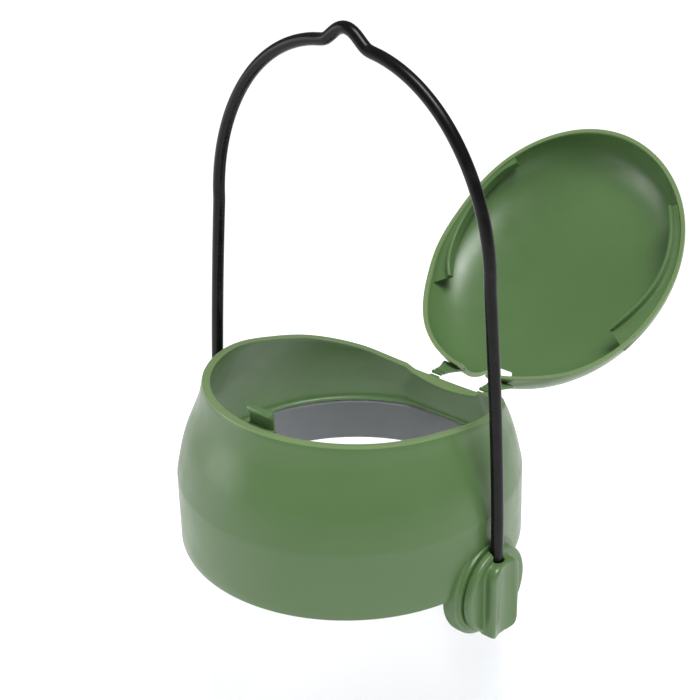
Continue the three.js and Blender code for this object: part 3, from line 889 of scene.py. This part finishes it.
def basePiece():  # the bait base: a flared foot, a gripping band and a groove inside for the seal
    radius, flare, seal = base["radius"], base["flare"], base["sealHeight"]
    groove = head["tubeRadius"] + 2 * base["gap"] + 2 * base["sealSection"]
    half = base["sealSection"] + base["gap"]
    band = groove + 1.6
    bore, top = head["boreRadius"], base["height"]
    corners = [(2, 0, 0), (radius - 3, 0, 0.5), (radius - 2.4, 0.5, 0.3), (radius + 1.2, 0.5, 0.3),
               (radius + 1.8, 0, 0.5), (radius + flare - 0.8, 0, 0.8), (radius + flare, 0.9, 0.8),
               (radius + flare, 4, 1.5), (radius + 0.6 * flare, 7.5, 4), (radius + 0.28 * flare, 12.5, 4),
               (radius + 0.06 * flare, 19, 4), (radius, seal - 8, 1.5), (band - 0.5, seal - 5.5, 1.2),
               (band, seal - 4.2, 0.8), (band, seal - 1.5, 0.2), (band, top - 0.9, 0.7),
               (band - 0.8, top, 0.4), (bore, top, 0.3), (bore, seal + half, 0.2),
               (groove, seal + half, 0.3), (groove, seal - half, 0.3), (bore, seal - half, 0.2),
               (bore, base["shelf"], 0.2), (bore - 3, base["shelf"], 0.4),
               (bore - 4.5, base["floor"] + 2, 1.2), (bore - 9, base["floor"], 2), (2, base["floor"], 0)]
    loop = roundedLoop(corners, 4)
    rings = []
    for i in range(base["steps"]):
        angle = 2 * pi * i / base["steps"]
        wave = 0.5 - 0.5 * cos(base["ribs"] * angle)
        ring = []
        for r, z in loop:
            onBand = stepUp(z, 12, 15) * (1 - stepUp(z, 27, 29)) if r > bore + 0.5 else 0
            r -= base["ribDepth"] * wave * onBand
            ring.append((r * cos(angle), r * sin(angle), z))
        rings.append(ring)
    piece = place("baseBowl", gridMesh("baseBowl", rings), green)
    plugLine = [(0, 0), (3, 0), (3, base["floor"]), (0, base["floor"])]
    plug = place("plug", solidLathe("plug", plugLine, 60), green)
    combine(piece, [plug], "UNION")
    settle(piece, "base", "green_plastic", "base_bowl")


def sealPiece():
    radius = head["tubeRadius"] + base["gap"] + base["sealSection"]
    section = base["sealSection"]
    loop = [(radius + section * cos(2 * pi * k / 20), base["sealHeight"] + section * sin(2 * pi * k / 20))
            for k in range(20)]
    piece = place("baseSeal", lathe("baseSeal", loop, 144), rubber)
    settle(piece, "base", "seal_rubber", "base_seal", sharp=60)


basePiece()
sealPiece()
print("base made")


studio = {
    "floorSize": 8,
    "floorColour": (0.93, 0.93, 0.93),
    "floorGlow": 0.55,
    "worldStrength": 0.22,
    "keyPlace": (0.45, -0.1, 1.35),
    "keySize": 0.55,
    "keyPower": 15,
    "fillPlace": (-1.05, -0.75, 0.45),
    "fillSize": 0.7,
    "fillPower": 5,
}

view = {
    "aim": (0, 0, 0.185),
    "distance": 0.56,
    "azimuth": 40.706,
    "elevation": 33.156,
    "pan": -0.1138,
    "pitch": -28.3,
    "roll": -1.556,
    "lens": 103.33,
}


def areaLight(name, spot, size, power):
    light = bpy.data.lights.new(name, "AREA")
    light.size = size
    light.energy = power
    lamp = bpy.data.objects.new(name, light)
    bpy.context.scene.collection.objects.link(lamp)
    lamp.location = spot
    lamp.rotation_euler = (Vector(view["aim"]) - Vector(spot)).to_track_quat("-Z", "Y").to_euler()


def makeStudio():
    mesh = bpy.data.meshes.new("floor")
    half = studio["floorSize"] / 2
    corners = [(-half, -half, 0), (half, -half, 0), (half, half, 0), (-half, half, 0)]
    mesh.from_pydata(corners, [], [(0, 1, 2, 3)])
    floor = place("floor", mesh)
    material, tree, shader = newMaterial("floorPaper")
    where = tree.nodes.new("ShaderNodeTexCoord").outputs["Object"]
    tone = ramp(tree, noise(tree, where, 3, 2), 0, 1)
    light = studio["floorColour"]
    tree.links.new(twoColours(tree, tone, [c * 0.995 for c in light], light), shader.inputs["Base Color"])
    shader.inputs["Roughness"].default_value = 0.9
    shader.inputs["Specular IOR Level"].default_value = 0.1
    shader.inputs["Emission Color"].default_value = (1, 1, 1, 1)
    shader.inputs["Emission Strength"].default_value = studio["floorGlow"]
    mesh.materials.append(material)
    world = bpy.data.worlds.new("studio")
    world.use_nodes = True
    world.node_tree.nodes["Background"].inputs["Color"].default_value = (1, 1, 1, 1)
    world.node_tree.nodes["Background"].inputs["Strength"].default_value = studio["worldStrength"]
    bpy.context.scene.world = world
    areaLight("key", studio["keyPlace"], studio["keySize"], studio["keyPower"])
    areaLight("fill", studio["fillPlace"], studio["fillSize"], studio["fillPower"])
    bpy.context.scene.view_settings.view_transform = "Standard"


def makeCamera():
    azimuth, elevation = radians(view["azimuth"]), radians(view["elevation"])
    pan, pitch, roll = radians(view["pan"]), radians(view["pitch"]), radians(view["roll"])
    away = Vector((sin(azimuth) * cos(elevation), -cos(azimuth) * cos(elevation), sin(elevation)))
    right = Vector((cos(azimuth + pan), sin(azimuth + pan), 0))
    ahead = Vector((-sin(azimuth + pan) * cos(pitch), cos(azimuth + pan) * cos(pitch), sin(pitch)))
    up = right.cross(ahead)
    tilted = right * cos(roll) + up * sin(roll)
    upright = up * cos(roll) - right * sin(roll)
    turn = Matrix((tilted, upright, -ahead)).transposed()
    camera = bpy.data.objects.new("camera", bpy.data.cameras.new("camera"))
    camera.data.lens = view["lens"]
    camera.data.sensor_width = 36
    camera.matrix_world = Matrix.Translation(Vector(view["aim"]) + away * view["distance"]) @ turn.to_4x4()
    bpy.context.scene.collection.objects.link(camera)
    bpy.context.scene.camera = camera


makeStudio()
makeCamera()
print("studio made")
